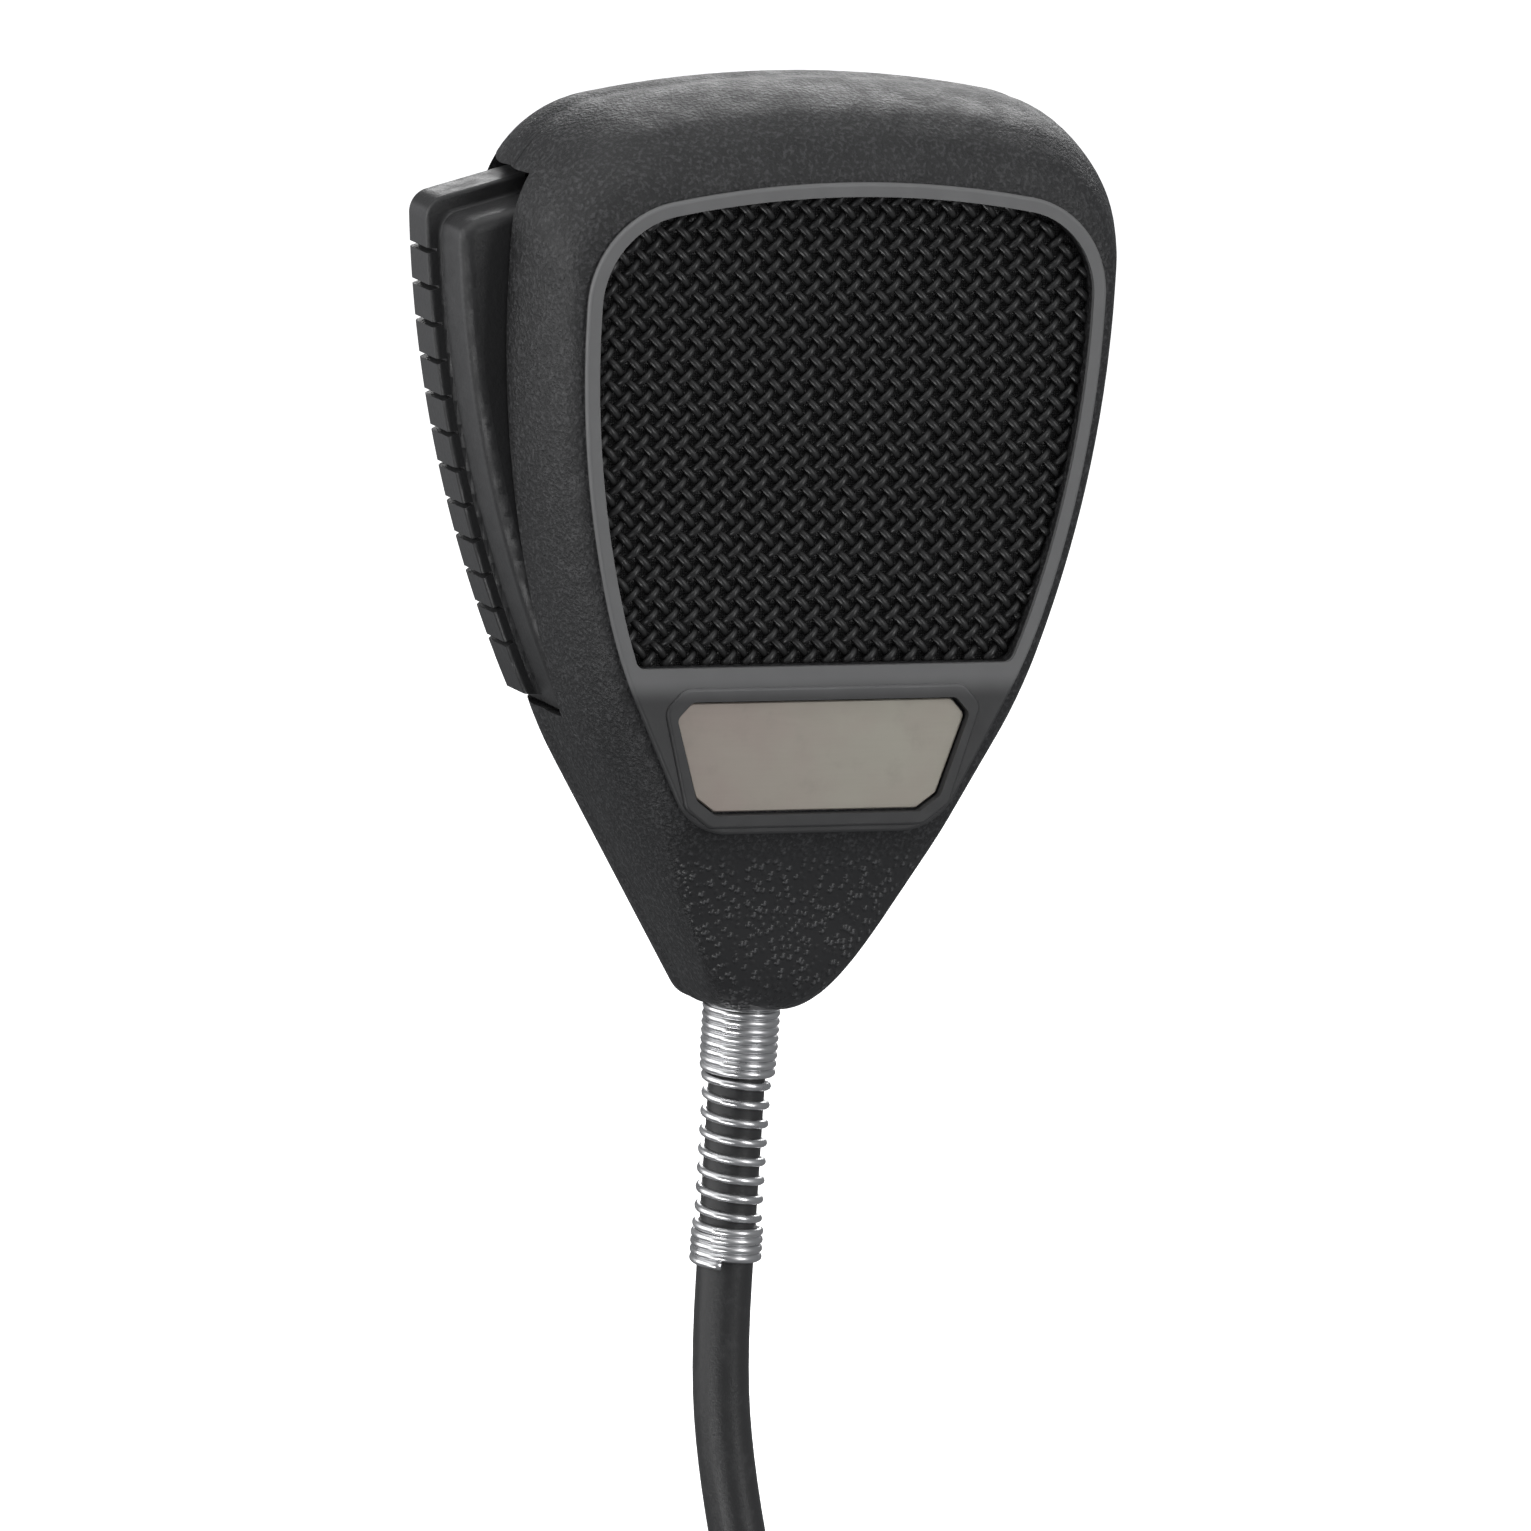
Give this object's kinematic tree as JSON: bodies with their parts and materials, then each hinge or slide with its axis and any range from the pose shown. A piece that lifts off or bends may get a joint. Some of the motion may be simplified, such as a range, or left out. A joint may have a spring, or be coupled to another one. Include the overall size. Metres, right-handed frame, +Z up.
{
  "type": "hand microphone",
  "caption": "Palm-held push-to-talk hand microphone with woven grille, blank nameplate, side lever, hang-up button, spring strain relief, cord and round screw-on plug.",
  "frame": {"origin": "middle of the hang-up button's stem, on its axis, where the hanger's fork grips it", "axes": "+Z up along the case towards its top, -Y out of the talking side, -X towards the press-to-talk lever, +Y out of the back along the hang-up button"},
  "size_m": [0.0815, 0.0426, 0.2905],
  "materials": {
    "case_plastic": "textured charcoal moulding",
    "lever_plastic": "satin charcoal moulding",
    "grille_wire": "black enamelled woven wire",
    "grille_cloth": "black acoustic cloth",
    "inner_plastic": "black moulding",
    "plate_metal": "brushed satin plate",
    "steel_fasteners": "zinc plated",
    "button_metal": "nickel plated",
    "plunger_plastic": "red acetal",
    "brass_contacts": "tinned brass",
    "capsule_iron": "nickelled soft iron",
    "coil_copper": "enamelled copper",
    "diaphragm_film": "clear film",
    "capsule_plastic": "black moulding",
    "soft_rubber": "soft black rubber",
    "wire_insulation": "coloured insulation",
    "cord_jacket": "black satin jacket",
    "spring_steel": "bright nickelled spring wire",
    "tie_strap": "black hook and loop strap",
    "plug_metal": "nickel plated brass",
    "insert_plastic": "black phenolic"
  },
  "bodies": {
    "microphone": {"front_shell": "case_plastic", "rear_shell": "case_plastic", "grille": "grille_wire", "grille_cloth": "grille_cloth", "grille_retainer": "inner_plastic", "switch_housing": "inner_plastic", "terminal_board": "inner_plastic", "capsule_retainer": "inner_plastic", "nameplate": "plate_metal", "case_screws": "steel_fasteners", "hang_button_washer": "steel_fasteners", "hang_button_nut": "steel_fasteners", "ptt_pivot_pin": "steel_fasteners", "ptt_return_spring": "steel_fasteners", "switch_bracket": "steel_fasteners", "switch_screws": "steel_fasteners", "retainer_screws": "steel_fasteners", "board_screws": "steel_fasteners", "cable_clamp": "steel_fasteners", "cable_clamp_screws": "steel_fasteners", "spring_collar": "steel_fasteners", "plug_saddle_screws": "steel_fasteners", "hang_button_stem": "button_metal", "hang_button_head": "button_metal", "switch_terminals": "brass_contacts", "terminal_lugs": "brass_contacts", "plug_contacts": "brass_contacts", "capsule_cup": "capsule_iron", "capsule_pole_piece": "capsule_iron", "capsule_top_plate": "capsule_iron", "capsule_magnet": "capsule_iron", "voice_coil": "coil_copper", "diaphragm": "diaphragm_film", "capsule_cover": "capsule_plastic", "capsule_boot": "soft_rubber", "capsule_gasket": "soft_rubber", "plug_grommet": "soft_rubber", "cord_conductors": "wire_insulation", "capsule_leads": "wire_insulation", "switch_leads": "wire_insulation", "cord_inner": "cord_jacket", "cord_lead": "cord_jacket", "cord_coil": "cord_jacket", "cord_tail": "cord_jacket", "armour_spring": "spring_steel", "cord_tie": "tie_strap", "plug_shell": "plug_metal", "plug_saddle": "plug_metal", "plug_insert": "insert_plastic"},
    "lever": {"ptt_lever": "lever_plastic"},
    "plunger": {"switch_plunger": "plunger_plastic"},
    "coupling_ring": {"plug_coupling_ring": "plug_metal"}
  },
  "joints": [
    {"name": "ptt_pivot", "type": "hinge", "parent": "microphone", "child": "lever", "pos_m": [-0.0194, -0.01135, -0.0298], "axis": [0, 1, 0], "range_deg": [0, 4], "stiffness_Nm_per_rad": 0.8, "springref_deg": -2.86, "deforming": ["ptt_return_spring"]},
    {"name": "plunger_slide", "type": "slide", "parent": "microphone", "child": "plunger", "axis": [1, 0, 0], "range_m": [0, 0.0009]},
    {"name": "ring_turn", "type": "hinge", "parent": "microphone", "child": "coupling_ring", "pos_m": [0.0334, -0.02335, -0.253], "axis": [0, 0, 1], "continuous": true}
  ],
  "couplings": [
    {"joint": "plunger_slide", "follows": "ptt_pivot", "m_per_rad": 0.0123}
  ]
}
